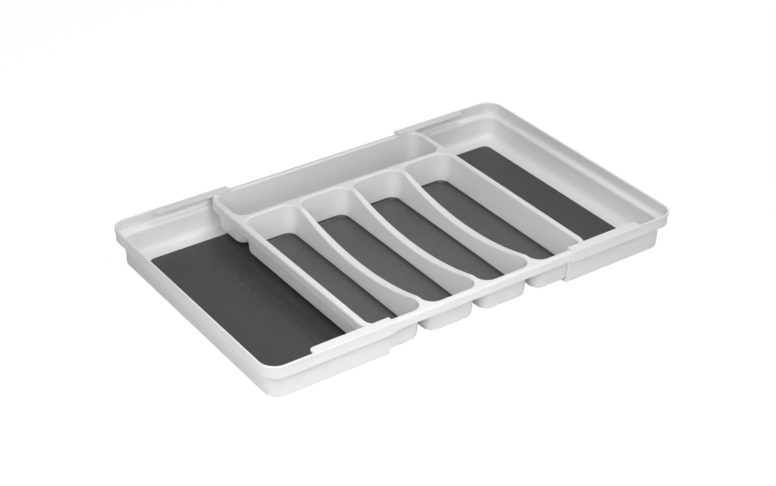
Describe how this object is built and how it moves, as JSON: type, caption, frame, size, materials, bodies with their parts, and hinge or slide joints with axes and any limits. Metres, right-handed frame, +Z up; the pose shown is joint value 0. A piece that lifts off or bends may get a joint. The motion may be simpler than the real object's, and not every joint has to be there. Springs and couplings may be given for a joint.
{
  "type": "expandable cutlery tray",
  "caption": "Expandable cutlery tray: a centre tray divided into lined compartments, with extension trays that slide out from under its rim at both sides.",
  "frame": {"origin": "middle of the tray, on the surface that its feet stand on", "axes": "+X along the width, towards the right extension; +Y to the back, where the crosswise compartment is; +Z up"},
  "size_m": [0.6, 0.375, 0.051],
  "materials": {
    "tray_plastic": "white moulded plastic with a satin surface",
    "liner_rubber": "soft dark grey sheet, matte, with fine raised dots",
    "foot_rubber": "matte grey pad"
  },
  "bodies": {
    "center_section": {"center_tray": "tray_plastic", "compartment_liner_1": "liner_rubber", "compartment_liner_2": "liner_rubber", "compartment_liner_3": "liner_rubber", "compartment_liner_4": "liner_rubber", "back_compartment_liner": "liner_rubber"},
    "left_section": {"left_extension": "tray_plastic", "left_extension_liner": "liner_rubber", "left_front_inner_foot": "foot_rubber", "left_front_outer_foot": "foot_rubber", "left_back_inner_foot": "foot_rubber", "left_back_outer_foot": "foot_rubber"},
    "right_section": {"right_extension": "tray_plastic", "right_extension_liner": "liner_rubber", "right_front_inner_foot": "foot_rubber", "right_front_outer_foot": "foot_rubber", "right_back_inner_foot": "foot_rubber", "right_back_outer_foot": "foot_rubber"}
  },
  "joints": [
    {"name": "left_extension_slide", "type": "slide", "parent": "center_section", "child": "left_section", "axis": [1, 0, 0], "range_m": [0, 0.13]},
    {"name": "right_extension_slide", "type": "slide", "parent": "center_section", "child": "right_section", "axis": [-1, 0, 0], "range_m": [0, 0.13]}
  ]
}
